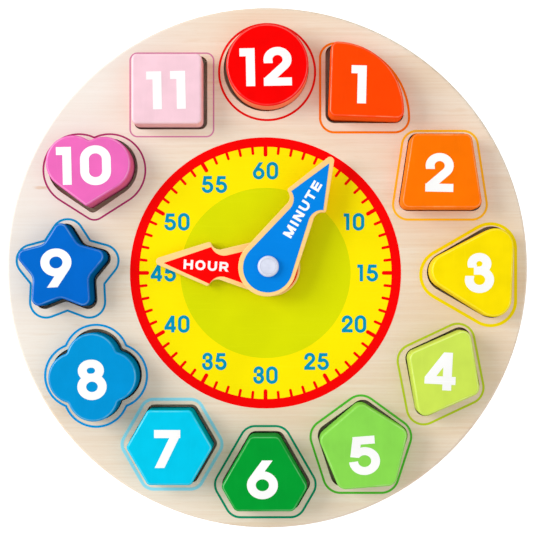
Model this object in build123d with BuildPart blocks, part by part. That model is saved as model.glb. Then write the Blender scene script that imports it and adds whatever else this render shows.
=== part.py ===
"""Wooden teaching clock with twelve lift-out number blocks and two turning hands.

Millimetres. The origin is the centre of the back face, +Z points out of the dial
and +Y points to twelve o'clock. Angles of clock places run clockwise from +Y.
"""

import os
from math import asin, atan2, cos, degrees, hypot, radians, sin, sqrt

from build123d import *

# Boards
BOARD_RADIUS = 110.0
BACK_BOARD_THICKNESS = 3.0
FACE_BOARD_THICKNESS = 5.0
BOARD_EDGE_ROUNDING = 1.0

# Number blocks and the pockets that they sit in. An inset is the distance from the rim of the
# board to the middle of a pocket.
BLOCK_THICKNESS = 15.0
BLOCK_EDGE_ROUNDING = 1.1
POCKET_CLEARANCE = 0.9

DISC_RADIUS = 17.1
DISC_INSET = 25.9
QUARTER_RADIUS = 25.4
QUARTER_CORNER = 2.9
QUARTER_INSET = 22.2
TRAPEZOID_CORE_TOP = 19.4
TRAPEZOID_CORE_BASE = 27.0
TRAPEZOID_CORE_HEIGHT = 24.8
TRAPEZOID_CORNER = 3.1
TRAPEZOID_INSET = 26.5
TRIANGLE_CORE_RADIUS = 12.6
TRIANGLE_CORNER = 7.5
TRIANGLE_INSET = 21.5
RHOMBUS_CORE_LONG_DIAGONAL = 31.8
RHOMBUS_CORE_SHORT_DIAGONAL = 24.8
RHOMBUS_CORNER = 3.7
RHOMBUS_TILT = 63.0
RHOMBUS_INSET = 23.9
PENTAGON_CORE_RADIUS = 14.8
PENTAGON_CORNER = 4.0
PENTAGON_INSET = 24.4
CUT_TRIANGLE_SHORT_SIDE = 8.5
CUT_TRIANGLE_LONG_SIDE = 21.0
CUT_TRIANGLE_CORNER = 2.9
CUT_TRIANGLE_INSET = 24.4
HEXAGON_CORE_RADIUS = 15.7
HEXAGON_CORNER = 2.0
HEXAGON_INSET = 25.7
QUATREFOIL_LOBE_RADIUS = 10.6
QUATREFOIL_LOBE_OFFSET = 7.8
QUATREFOIL_NOTCH_ROUNDING = 1.6
QUATREFOIL_INSET = 24.8
STAR_TIP_RADIUS = 21.3
STAR_NOTCH_RADIUS = 12.3
STAR_TIP_ROUNDING = 3.1
STAR_NOTCH_ROUNDING = 4.6
STAR_INSET = 25.1
HEART_LOBE_RADIUS = 11.2
HEART_LOBE_OFFSET = 6.45
HEART_LOBE_HEIGHT = 3.25
HEART_NOTCH_ROUNDING = 1.9
HEART_TIP_ROUNDING = 1.2
HEART_TIP_DEPTH = 13.25
HEART_INSET = 26.6
HEART_POCKET_CLEARANCE = 1.3
SQUARE_SIDE = 29.1
SQUARE_CORNER = 2.2
SQUARE_INSET = 25.6

# Pivot: a headed pin pressed into a flanged socket from behind, with thin washers, a little off
# the middle of the board
PIN_X = 0.6
PIN_Y = 0.3
PIN_RADIUS = 2.5
PIN_HEAD_RADIUS = 4.4
PIN_HEAD_HEIGHT = 2.0
PIN_HEAD_ROUNDING = 1.1
PIN_TIP_CHAMFER = 0.5
PIN_PRESS_CLEARANCE = 0.02
PIN_TIP_GAP = 0.4
SOCKET_WALL = 1.2
SOCKET_FLOOR = 0.8
SOCKET_TOP_GAP = 0.3
SOCKET_FLANGE_RADIUS = 8.0
SOCKET_FLANGE_THICKNESS = 1.0
SOCKET_RECESS = 0.2
SOCKET_HOLE_CLEARANCE = 0.1
SOCKET_FLANGE_CLEARANCE = 0.3
SOCKET_FLANGE_ROUNDING = 0.3
WASHER_RADIUS = 6.0
WASHER_THICKNESS = 0.8
WASHER_CLEARANCE = 0.15
HAND_RUNNING_CLEARANCE = 0.08
HAND_END_PLAY = 0.1

# Hands: an arrow head on a waist that widens to a round end. The pin's hole lies a little ahead
# of the middle of the round end, and to one side of it.
HAND_THICKNESS = 3.0
HAND_EDGE_ROUNDING = 0.3
HAND_END_RADIUS = 12.1
HAND_BARB_HALF_WIDTH = 9.5
HAND_WAIST_HALF_WIDTH = 6.3
HAND_WAIST_ROUNDING = 3.9
HAND_BARB_ROUNDING = 1.0
HAND_TIP_ROUNDING = 1.7
MINUTE_HAND_LENGTH = 56.1
MINUTE_HAND_BARB = 31.9
MINUTE_HAND_HOLE = (0.55, -0.15)
MINUTE_HAND_TIME = 30.5
HOUR_HAND_LENGTH = 51.6
HOUR_HAND_BARB = 26.0
HOUR_HAND_HOLE = (1.2, -0.15)
HOUR_HAND_TIME = 273.0

# Heights that follow from the stack
FACE_BOARD_BASE = BACK_BOARD_THICKNESS
DIAL_LEVEL = FACE_BOARD_BASE + FACE_BOARD_THICKNESS
HOUR_HAND_BASE = DIAL_LEVEL + WASHER_THICKNESS + HAND_END_PLAY
HAND_WASHER_BASE = HOUR_HAND_BASE + HAND_THICKNESS + HAND_END_PLAY
MINUTE_HAND_BASE = HAND_WASHER_BASE + WASHER_THICKNESS + HAND_END_PLAY
PIN_HEAD_BASE = MINUTE_HAND_BASE + HAND_THICKNESS + HAND_END_PLAY
SOCKET_FLANGE_TOP = SOCKET_RECESS + SOCKET_FLANGE_THICKNESS
SOCKET_RADIUS = PIN_RADIUS + PIN_PRESS_CLEARANCE + SOCKET_WALL
SOCKET_TOP = DIAL_LEVEL - SOCKET_TOP_GAP
SOCKET_BORE_FLOOR = SOCKET_RECESS + SOCKET_FLOOR

# The pin's axis, and an upright plane through it
PIN_AXIS = Axis((PIN_X, PIN_Y, 0), (0, 0, 1))
PIN_SECTION = Plane((PIN_X, PIN_Y, 0), x_dir=(1, 0, 0), z_dir=(0, -1, 0))


def disc():
    with BuildSketch() as outline:
        Circle(DISC_RADIUS)
    return outline.sketch


def quarter_round():
    """Quarter of a disc, its square corner at the lower left and its middle at the origin."""
    reach = QUARTER_RADIUS / 2
    with BuildSketch() as outline:
        with BuildLine():
            corner = (-reach, -reach)
            bow = CenterArc(corner, QUARTER_RADIUS, 0, 90)
            Line(bow @ 1, corner)
            Line(corner, bow @ 0)
        make_face()
        offset(amount=QUARTER_CORNER)
    return outline.sketch


def trapezoid():
    base_angle = degrees(atan2(TRAPEZOID_CORE_HEIGHT, (TRAPEZOID_CORE_BASE - TRAPEZOID_CORE_TOP) / 2))
    with BuildSketch() as outline:
        Trapezoid(TRAPEZOID_CORE_BASE, TRAPEZOID_CORE_HEIGHT, base_angle)
        offset(amount=TRAPEZOID_CORNER)
    return outline.sketch


def triangle():
    """Equal-sided triangle that points to the middle of the dial from three o'clock."""
    with BuildSketch() as outline:
        RegularPolygon(radius=TRIANGLE_CORE_RADIUS, side_count=3, rotation=180)
        offset(amount=TRIANGLE_CORNER)
    return outline.sketch


def rhombus():
    with BuildSketch() as outline:
        with BuildLine(Plane.XY.rotated((0, 0, RHOMBUS_TILT))):
            Polyline(
                (RHOMBUS_CORE_LONG_DIAGONAL / 2, 0),
                (0, RHOMBUS_CORE_SHORT_DIAGONAL / 2),
                (-RHOMBUS_CORE_LONG_DIAGONAL / 2, 0),
                (0, -RHOMBUS_CORE_SHORT_DIAGONAL / 2),
                close=True,
            )
        make_face()
        offset(amount=RHOMBUS_CORNER)
    return outline.sketch


def pentagon():
    with BuildSketch() as outline:
        RegularPolygon(radius=PENTAGON_CORE_RADIUS, side_count=5, rotation=90)
        offset(amount=PENTAGON_CORNER)
    return outline.sketch


def cut_triangle():
    """Triangle with its three points cut off, a short side at the top."""
    side_ratio = sin(radians(60))
    top = (CUT_TRIANGLE_SHORT_SIDE + CUT_TRIANGLE_LONG_SIDE) * side_ratio / 2
    shoulder = top - CUT_TRIANGLE_LONG_SIDE * side_ratio
    widest = (CUT_TRIANGLE_SHORT_SIDE + CUT_TRIANGLE_LONG_SIDE) / 2
    with BuildSketch() as outline:
        with BuildLine():
            Polyline(
                (CUT_TRIANGLE_SHORT_SIDE / 2, top),
                (widest, shoulder),
                (CUT_TRIANGLE_LONG_SIDE / 2, -top),
                (-CUT_TRIANGLE_LONG_SIDE / 2, -top),
                (-widest, shoulder),
                (-CUT_TRIANGLE_SHORT_SIDE / 2, top),
                close=True,
            )
        make_face()
        offset(amount=CUT_TRIANGLE_CORNER)
    return outline.sketch


def hexagon():
    with BuildSketch() as outline:
        RegularPolygon(radius=HEXAGON_CORE_RADIUS, side_count=6)
        offset(amount=HEXAGON_CORNER)
    return outline.sketch


def quatrefoil():
    with BuildSketch() as outline:
        with PolarLocations(QUATREFOIL_LOBE_OFFSET, 4):
            Circle(QUATREFOIL_LOBE_RADIUS)
        fillet(outline.vertices(), QUATREFOIL_NOTCH_ROUNDING)
    return outline.sketch


def star():
    """Five-pointed star with round tips and hollow notches, one tip to twelve o'clock."""
    points = []
    for step in range(5):
        tip_angle = radians(90 + 72 * step)
        notch_angle = tip_angle + radians(36)
        points.append((STAR_TIP_RADIUS * cos(tip_angle), STAR_TIP_RADIUS * sin(tip_angle)))
        points.append((STAR_NOTCH_RADIUS * cos(notch_angle), STAR_NOTCH_RADIUS * sin(notch_angle)))
    with BuildSketch() as outline:
        with BuildLine():
            Polyline(*points, close=True)
        make_face()
        corners = outline.vertices().sort_by_distance((0, 0))
        fillet(corners[:5], STAR_NOTCH_ROUNDING)
        tips = [v for v in outline.vertices() if hypot(v.X, v.Y) > STAR_TIP_RADIUS - STAR_TIP_ROUNDING / 4]
        fillet(tips, STAR_TIP_ROUNDING)
    return outline.sketch


def heart():
    """Heart of two overlapping lobes and a rounded point, its point down."""
    with BuildSketch() as outline:
        for side in (-1, 1):
            with BuildSketch(mode=Mode.PRIVATE) as half:
                with Locations((side * HEART_LOBE_OFFSET, HEART_LOBE_HEIGHT)):
                    Circle(HEART_LOBE_RADIUS)
                with Locations((0, -HEART_TIP_DEPTH)):
                    Circle(HEART_TIP_ROUNDING)
                make_hull()
            add(half.sketch)
        notch = outline.vertices().filter_by(lambda v: abs(v.X) < 0.01).sort_by(Axis.Y)[-1]
        fillet(notch, HEART_NOTCH_ROUNDING)
    return outline.sketch


def square():
    with BuildSketch() as outline:
        RectangleRounded(SQUARE_SIDE, SQUARE_SIDE, SQUARE_CORNER)
    return outline.sketch


# Each block: node name, outline, clock angle and inset of its pocket, the pocket's clearance, and
# how the block lies in its pocket (shift and turn)
BLOCKS = [
    ("block_12_disc", disc, -0.3, DISC_INSET, POCKET_CLEARANCE, (0.7, -0.35), 0.0),
    ("block_01_quarter_round", quarter_round, 27.9, QUARTER_INSET, POCKET_CLEARANCE, (0.65, -0.1), -2.0),
    ("block_02_trapezoid", trapezoid, 61.1, TRAPEZOID_INSET, POCKET_CLEARANCE, (-0.6, -0.5), 0.0),
    ("block_03_triangle", triangle, 91.2, TRIANGLE_INSET, POCKET_CLEARANCE, (-0.3, -0.15), -2.5),
    ("block_04_rhombus", rhombus, 120.7, RHOMBUS_INSET, POCKET_CLEARANCE, (-0.5, 0.0), -1.5),
    ("block_05_pentagon", pentagon, 151.9, PENTAGON_INSET, POCKET_CLEARANCE, (0.15, 0.0), 4.5),
    ("block_06_cut_triangle", cut_triangle, 180.3, CUT_TRIANGLE_INSET, POCKET_CLEARANCE, (-0.5, 0.0), 0.0),
    ("block_07_hexagon", hexagon, 208.2, HEXAGON_INSET, POCKET_CLEARANCE, (-0.55, -0.5), 0.0),
    ("block_08_quatrefoil", quatrefoil, 238.0, QUATREFOIL_INSET, POCKET_CLEARANCE, (0.0, -0.55), 2.0),
    ("block_09_star", star, 269.4, STAR_INSET, POCKET_CLEARANCE, (-0.4, 0.45), 0.0),
    ("block_10_heart", heart, 297.9, HEART_INSET, HEART_POCKET_CLEARANCE, (-0.45, 0.85), -2.5),
    ("block_11_square", square, 331.1, SQUARE_INSET, POCKET_CLEARANCE, (-0.75, 0.0), 0.0),
]


def pocket_middle(clock_angle, inset):
    reach = BOARD_RADIUS - inset
    return Vector(reach * sin(radians(clock_angle)), reach * cos(radians(clock_angle)))


def hand_outline(length, barb, hole):
    """Arrow-shaped hand along +X, the middle of its round end at the origin."""
    hollow_y = HAND_WAIST_HALF_WIDTH + HAND_WAIST_ROUNDING
    hollow_rise = hollow_y - HAND_BARB_HALF_WIDTH
    hollow_x = barb - sqrt(HAND_WAIST_ROUNDING**2 - hollow_rise**2)
    barb_angle = -degrees(asin(hollow_rise / HAND_WAIST_ROUNDING))
    # The shaft's side touches the round end from outside and the hollow of the waist from inside.
    touching = (HAND_END_RADIUS + HAND_WAIST_ROUNDING) / hypot(hollow_x, hollow_y)
    taper = degrees(asin(touching) - atan2(hollow_y, hollow_x))
    with BuildSketch() as outline:
        with BuildLine():
            hollow_middle = (hollow_x, hollow_y)
            hollow = CenterArc(hollow_middle, HAND_WAIST_ROUNDING, barb_angle, -90 - taper - barb_angle)
            round_end = CenterArc((0, 0), HAND_END_RADIUS, 90 - taper, 90 + taper)
            Line((length, 0), hollow @ 0)
            Line(hollow @ 1, round_end @ 0)
            mirror(about=Plane.XZ)
        make_face()
        tip = outline.vertices().sort_by(Axis.X)[-1]
        fillet(tip, HAND_TIP_ROUNDING)
        barbs = outline.vertices().filter_by(lambda v: abs(abs(v.Y) - HAND_BARB_HALF_WIDTH) < 0.01)
        fillet(barbs, HAND_BARB_ROUNDING)
        with Locations(hole):
            Circle(PIN_RADIUS + HAND_RUNNING_CLEARANCE, mode=Mode.SUBTRACT)
    return outline.sketch


def export_piece(part, name):
    part.label = name
    export_step(part, f"parts/{name}.step")


def make_hand(name, base, clock_angle, outline, hole):
    """One hand, its hole on the pin."""
    with BuildPart() as hand:
        with BuildSketch(Plane((PIN_X, PIN_Y, base)).rotated((0, 0, 90 - clock_angle))):
            with Locations(-Vector(hole)):
                add(outline)
        extrude(amount=HAND_THICKNESS)
        broad_faces = hand.faces().filter_by(Axis.Z)
        rims = [face.outer_wire().edges() for face in broad_faces]
        fillet(rims, HAND_EDGE_ROUNDING)
    export_piece(hand.part, name)


def make_washer(name, base):
    with BuildPart() as washer:
        with BuildSketch(Plane((PIN_X, PIN_Y, base))):
            Circle(WASHER_RADIUS)
            Circle(PIN_RADIUS + WASHER_CLEARANCE, mode=Mode.SUBTRACT)
        extrude(amount=WASHER_THICKNESS)
    export_piece(washer.part, name)


def make_block(name, outline, pocket, shift, turn):
    """One number block, lying in its pocket on the back board."""
    seat = Plane(pocket + Vector(*shift, FACE_BOARD_BASE))
    with BuildPart() as block:
        with BuildSketch(seat.rotated((0, 0, turn))):
            add(outline)
        extrude(amount=BLOCK_THICKNESS)
        fillet(block.faces().filter_by(Axis.Z).edges(), BLOCK_EDGE_ROUNDING)
    export_piece(block.part, name)


os.makedirs("parts", exist_ok=True)

# Back board, with a recess from behind for the socket's flange
with BuildPart() as back_board:
    Cylinder(BOARD_RADIUS, BACK_BOARD_THICKNESS, align=(Align.CENTER, Align.CENTER, Align.MIN))
    fillet(back_board.edges().sort_by(Axis.Z)[0], BOARD_EDGE_ROUNDING)
    with Locations(Plane((PIN_X, PIN_Y, 0)).rotated((180, 0, 0))):
        CounterBoreHole(
            SOCKET_RADIUS + SOCKET_HOLE_CLEARANCE,
            SOCKET_FLANGE_RADIUS + SOCKET_FLANGE_CLEARANCE,
            SOCKET_FLANGE_TOP,
        )
export_piece(back_board.part, "back_board")

# Face board, cut right through by the twelve pockets
with BuildPart() as face_board:
    with BuildSketch(Plane.XY.offset(FACE_BOARD_BASE)):
        Circle(BOARD_RADIUS)
        with Locations((PIN_X, PIN_Y)):
            Circle(SOCKET_RADIUS + SOCKET_HOLE_CLEARANCE, mode=Mode.SUBTRACT)
        for _, outline, clock_angle, inset, clearance, _, _ in BLOCKS:
            with Locations(pocket_middle(clock_angle, inset)):
                add(offset(outline(), amount=clearance, mode=Mode.PRIVATE), mode=Mode.SUBTRACT)
    extrude(amount=FACE_BOARD_THICKNESS)
    fillet(face_board.faces().sort_by(Axis.Z)[-1].outer_wire().edges(), BOARD_EDGE_ROUNDING)
export_piece(face_board.part, "face_board")

for name, outline, clock_angle, inset, _, shift, turn in BLOCKS:
    make_block(name, outline(), pocket_middle(clock_angle, inset), shift, turn)

make_washer("dial_washer", DIAL_LEVEL)
make_washer("hand_washer", HAND_WASHER_BASE)

make_hand(
    "hour_hand",
    HOUR_HAND_BASE,
    HOUR_HAND_TIME,
    hand_outline(HOUR_HAND_LENGTH, HOUR_HAND_BARB, HOUR_HAND_HOLE),
    HOUR_HAND_HOLE,
)
make_hand(
    "minute_hand",
    MINUTE_HAND_BASE,
    MINUTE_HAND_TIME,
    hand_outline(MINUTE_HAND_LENGTH, MINUTE_HAND_BARB, MINUTE_HAND_HOLE),
    MINUTE_HAND_HOLE,
)

# Socket, pushed through both boards from behind
with BuildPart() as pin_socket:
    with BuildSketch(PIN_SECTION):
        with BuildLine():
            Polyline(
                (0, SOCKET_RECESS),
                (SOCKET_FLANGE_RADIUS, SOCKET_RECESS),
                (SOCKET_FLANGE_RADIUS, SOCKET_FLANGE_TOP),
                (SOCKET_RADIUS, SOCKET_FLANGE_TOP),
                (SOCKET_RADIUS, SOCKET_TOP),
                (PIN_RADIUS + PIN_PRESS_CLEARANCE, SOCKET_TOP),
                (PIN_RADIUS + PIN_PRESS_CLEARANCE, SOCKET_BORE_FLOOR),
                (0, SOCKET_BORE_FLOOR),
                close=True,
            )
        make_face()
    revolve(axis=PIN_AXIS)
    rim = pin_socket.edges().filter_by(GeomType.CIRCLE).group_by(SortBy.RADIUS)[-1].sort_by(Axis.Z)[0]
    fillet(rim, SOCKET_FLANGE_ROUNDING)
export_piece(pin_socket.part, "pin_socket")

# Pin with its button head, pressed into the socket from the front
with BuildPart() as pivot_pin:
    with BuildSketch(PIN_SECTION):
        with BuildLine():
            tip_level = SOCKET_BORE_FLOOR + PIN_TIP_GAP
            head_top = PIN_HEAD_BASE + PIN_HEAD_HEIGHT
            Polyline(
                (0, tip_level),
                (PIN_RADIUS, tip_level),
                (PIN_RADIUS, PIN_HEAD_BASE),
                (PIN_HEAD_RADIUS, PIN_HEAD_BASE),
                (PIN_HEAD_RADIUS, head_top),
                (0, head_top),
                close=True,
            )
        make_face()
    revolve(axis=PIN_AXIS)
    round_edges = pivot_pin.edges().filter_by(GeomType.CIRCLE).sort_by(Axis.Z)
    fillet(round_edges[-1], PIN_HEAD_ROUNDING)
    chamfer(round_edges[0], PIN_TIP_CHAMFER)
export_piece(pivot_pin.part, "pivot_pin")
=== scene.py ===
"""Wooden teaching clock: its finishes, its printed dial and numerals, and a plain studio round it.

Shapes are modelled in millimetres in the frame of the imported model, and made metres when they
become pieces.
"""

import logging
from dataclasses import dataclass
from enum import Enum
from functools import cache, partial, reduce
from math import asin, atan2, ceil, cos, degrees, pi, radians, sin, sqrt, tau
from typing import NamedTuple, Sequence

import bmesh
import bpy
from mathutils import Matrix, Vector


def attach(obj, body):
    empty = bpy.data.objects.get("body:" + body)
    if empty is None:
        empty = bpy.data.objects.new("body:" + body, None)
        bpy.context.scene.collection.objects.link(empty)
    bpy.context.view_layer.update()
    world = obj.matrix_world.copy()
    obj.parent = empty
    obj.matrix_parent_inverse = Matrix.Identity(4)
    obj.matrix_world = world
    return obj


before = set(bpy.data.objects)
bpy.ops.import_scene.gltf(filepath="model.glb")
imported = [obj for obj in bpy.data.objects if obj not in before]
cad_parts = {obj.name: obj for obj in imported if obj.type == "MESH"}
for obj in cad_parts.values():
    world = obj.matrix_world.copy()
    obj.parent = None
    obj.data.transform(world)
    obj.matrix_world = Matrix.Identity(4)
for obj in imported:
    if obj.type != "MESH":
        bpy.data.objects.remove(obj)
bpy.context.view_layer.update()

log = logging.getLogger("teaching_clock")

Colour = tuple[int, int, int]
Point = tuple[float, float]
Triple = tuple[float, float, float]
Crop = tuple[float, float, float, float]
Mesh = bpy.types.Mesh
Shape = bmesh.types.BMesh
Vert = bmesh.types.BMVert
Socket = bpy.types.NodeSocket
Value = float | tuple | Socket

MM = 0.001
INK_THICKNESS = 0.05
DIAL_LEVEL = 8.0
BLOCK_TOP = 18.0
HOUR_HAND_TOP = 11.9
MINUTE_HAND_TOP = 15.9
PIN_MIDDLE = (0.6, 0.3)

WHITE = (255, 255, 255)
BLACK = (0, 0, 0)

CIRCLE_SEGMENTS = 120
LARGE_ARC_RADIUS = 1.5
LARGE_ARC_STEP = radians(4)
SMALL_ARC_STEP = radians(7)
SAME_POINT_MM = 1e-5
SAME_POINT_M = 1e-7

# A crop as wide as any sign, from the foot of the line to its head.
LINE_HEIGHT = (-9.0, 0.0, 9.0, 1.0)
# How far a bow runs on upright, so that its end is cut level.
LEVEL_END = 0.033
# How far a bowl or a bow stands beyond the line, so that it looks as tall as a stem.
OVERSHOOT = 0.02


# --- Outlines and strokes ---


class Peg(NamedTuple):
    """A round peg that an outline runs round. A negative radius is a hollow in the outline."""

    x: float
    y: float
    radius: float


def bend(mesh: Shape, start: Vert, middle: Point, turn: float, radius: float) -> Vert:
    """Draws an arc on from a point.

    Args:
        mesh: the mesh that holds the point.
        start: the point.
        middle: the middle of the arc.
        turn: how far the arc turns anticlockwise, in radians.
        radius: its radius.

    Returns:
        The last point of the arc.
    """
    step = LARGE_ARC_STEP if abs(radius) > LARGE_ARC_RADIUS else SMALL_ARC_STEP
    arc = bmesh.ops.spin(
        mesh,
        geom=[start],
        cent=(*middle, 0),
        axis=(0, 0, 1),
        angle=turn,
        steps=max(2, ceil(abs(turn) / step)),
        use_merge=False,
    )
    return next(item for item in arc["geom_last"] if isinstance(item, Vert))


@dataclass(frozen=True)
class Stroke:
    """A pen stroke.

    Each move after the first is a straight run to (x, y), or a bend of some degrees round
    (x, y). What lies outside the crop (left, foot, right, head) is cut off.
    """

    moves: Sequence[tuple[float, ...]]
    crop: Crop | None = None

    def draw(self, mesh: Shape) -> None:
        """Draws the stroke's middle line.

        Args:
            mesh: the mesh that takes the line.
        """
        tip = mesh.verts.new((*self.moves[0], 0))
        for x, y, *turn in self.moves[1:]:
            if turn:
                reach = (tip.co.xy - Vector((x, y))).length
                tip = bend(mesh, tip, (x, y), radians(turn[0]), reach)
            else:
                end = mesh.verts.new((x, y, 0))
                mesh.edges.new((tip, end))
                tip = end


@dataclass(frozen=True)
class Ring:
    """A closed line that runs anticlockwise round some pegs, cropped as a stroke is."""

    pegs: Sequence[Peg]
    crop: Crop | None = None

    def draw(self, mesh: Shape) -> None:
        """Draws the line.

        Args:
            mesh: the mesh that takes the line.
        """
        pegs = self.pegs
        if len(pegs) == 1:
            x, y, radius = pegs[0]
            middle = Matrix.Translation((x, y, 0))
            bmesh.ops.create_circle(mesh, segments=CIRCLE_SEGMENTS, radius=radius, matrix=middle)
            return
        headings = []
        for here, there in zip(pegs, (*pegs[1:], pegs[0])):
            step = Vector((there.x - here.x, there.y - here.y))
            lean = max(-1.0, min(1.0, (here.radius - there.radius) / step.length))
            headings.append(atan2(step.y, step.x) + asin(lean))
        first = last = None
        arrivals = (headings[-1], *headings[:-1])
        for (x, y, radius), arriving, leaving in zip(pegs, arrivals, headings):
            turn = (leaving - arriving) % tau
            if radius < 0:
                turn -= tau
            start = mesh.verts.new((x + radius * sin(arriving), y - radius * cos(arriving), 0))
            if last:
                mesh.edges.new((last, start))
            first = first or start
            last = bend(mesh, start, (x, y), turn, radius)
        mesh.edges.new((last, first))
        bmesh.ops.remove_doubles(mesh, verts=mesh.verts[:], dist=SAME_POINT_MM)


def set_down(mesh: Shape, name: str) -> Mesh:
    """Turns an open mesh into mesh data.

    Args:
        mesh: the open mesh, which is used up.
        name: the name of the data.

    Returns:
        The data.
    """
    data = bpy.data.meshes.new(name)
    mesh.to_mesh(data)
    mesh.free()
    return data


def on_scene(name: str, data: bpy.types.ID) -> bpy.types.Object:
    """Makes an object and links it to the scene.

    Args:
        name: its name.
        data: its mesh, lamp or lens.

    Returns:
        The object.
    """
    item = bpy.data.objects.new(name, data)
    bpy.context.scene.collection.objects.link(item)
    return item


def baked(piece: bpy.types.Object) -> Mesh:
    """Takes a working object off the scene.

    Args:
        piece: the object.

    Returns:
        Its mesh with its modifiers applied.
    """
    graph = bpy.context.evaluated_depsgraph_get()
    mesh = bpy.data.meshes.new_from_object(piece.evaluated_get(graph))
    bpy.data.objects.remove(piece)
    return mesh


def lift(mesh: Shape, grown: dict, height: float) -> None:
    """Raises what an extrusion added, and turns all faces outwards.

    Args:
        mesh: the mesh.
        grown: what the extrusion gave back.
        height: how far it is raised.
    """
    top = [item for item in grown["geom"] if isinstance(item, Vert)]
    bmesh.ops.translate(mesh, vec=(0, 0, height), verts=top)
    bmesh.ops.recalc_face_normals(mesh, faces=mesh.faces[:])


def plate(outlines: Sequence[Sequence[Peg]], height: float) -> Shape:
    """Makes a thin plate. An outline inside another is a hole.

    Args:
        outlines: the pegs of each outline.
        height: the thickness.

    Returns:
        The plate, its lower face at 0.
    """
    mesh = bmesh.new()
    for pegs in outlines:
        Ring(pegs).draw(mesh)
    bmesh.ops.triangle_fill(mesh, use_beauty=True, edges=mesh.edges[:])
    grown = bmesh.ops.extrude_face_region(mesh, geom=mesh.faces[:], use_keep_orig=True)
    lift(mesh, grown, height)
    return mesh


def wall(line: Stroke | Ring, width: float, height: float) -> Mesh:
    """Stands a line up as a wall and gives it a width.

    Args:
        line: the middle line of the wall.
        width: the width of the wall.
        height: the height of the wall.

    Returns:
        The wall, a closed mesh with mitred corners.
    """
    mesh = bmesh.new()
    line.draw(mesh)
    lift(mesh, bmesh.ops.extrude_edge_only(mesh, edges=mesh.edges[:]), height)
    piece = on_scene("work", set_down(mesh, "work"))
    breadth = piece.modifiers.new("breadth", "SOLIDIFY")
    breadth.thickness = width
    breadth.offset = 0.0
    breadth.use_even_offset = True
    return baked(piece)


def cut(bar: Mesh, crop: Crop | None) -> Mesh:
    """Cuts off what lies outside a crop.

    Args:
        bar: the stroke's closed mesh.
        crop: the left, foot, right and head of what stays, or nothing to cut.

    Returns:
        The same mesh, cut and closed again.
    """
    if crop is None:
        return bar
    left, foot, right, head = crop
    sides = ((left, 0, -1, 0), (0, foot, 0, -1), (right, 0, 1, 0), (0, head, 0, 1))
    mesh = bmesh.new()
    mesh.from_mesh(bar)
    for x, y, outwards_x, outwards_y in sides:
        bmesh.ops.bisect_plane(
            mesh,
            geom=mesh.verts[:] + mesh.edges[:] + mesh.faces[:],
            plane_co=(x, y, 0),
            plane_no=(outwards_x, outwards_y, 0),
            clear_outer=True,
        )
        open_edges = [edge for edge in mesh.edges if edge.is_boundary]
        if open_edges:
            bmesh.ops.edgeloop_fill(mesh, edges=open_edges)
    bmesh.ops.recalc_face_normals(mesh, faces=mesh.faces[:])
    mesh.to_mesh(bar)
    mesh.free()
    return bar


def add_mesh(mesh: Shape, part: Shape | Mesh, where: Matrix) -> None:
    """Adds a part to a mesh.

    Args:
        mesh: the mesh that takes it.
        part: the part, which is used up if it is an open mesh.
        where: where it goes.
    """
    data = set_down(part, "part") if isinstance(part, Shape) else part
    before = len(mesh.verts)
    mesh.from_mesh(data)
    mesh.verts.ensure_lookup_table()
    bmesh.ops.transform(mesh, matrix=where, verts=mesh.verts[before:])
    if data is not part:
        bpy.data.meshes.remove(data)


def make_piece(
    name: str, mesh: Shape, body: str, finish: "Finish", where: Matrix
) -> None:
    """Makes a finished piece that moves with a body.

    Args:
        name: the piece's name.
        mesh: its shape in millimetres, which is used up.
        body: the body that it rides on.
        finish: its finish.
        where: where the shape goes, in millimetres.
    """
    bmesh.ops.transform(mesh, matrix=Matrix.Scale(MM, 4) @ where, verts=mesh.verts[:])
    bmesh.ops.remove_doubles(mesh, verts=mesh.verts[:], dist=SAME_POINT_M)
    bmesh.ops.recalc_face_normals(mesh, faces=mesh.faces[:])
    piece = on_scene(name, set_down(mesh, name))
    piece.data.materials.append(finish.material())
    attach(piece, body)
    log.info("piece %s rides on %s, %d faces", name, body, len(piece.data.polygons))


def on_top(x: float, y: float, level: float, turn: float = 0.0) -> Matrix:
    """Gives a place on a flat face: its middle, its height and a turn in degrees."""
    return Matrix.Translation((x, y, level)) @ Matrix.Rotation(radians(turn), 4, "Z")


# --- Lettering ---


Strokes = list[Stroke | Ring]


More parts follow.
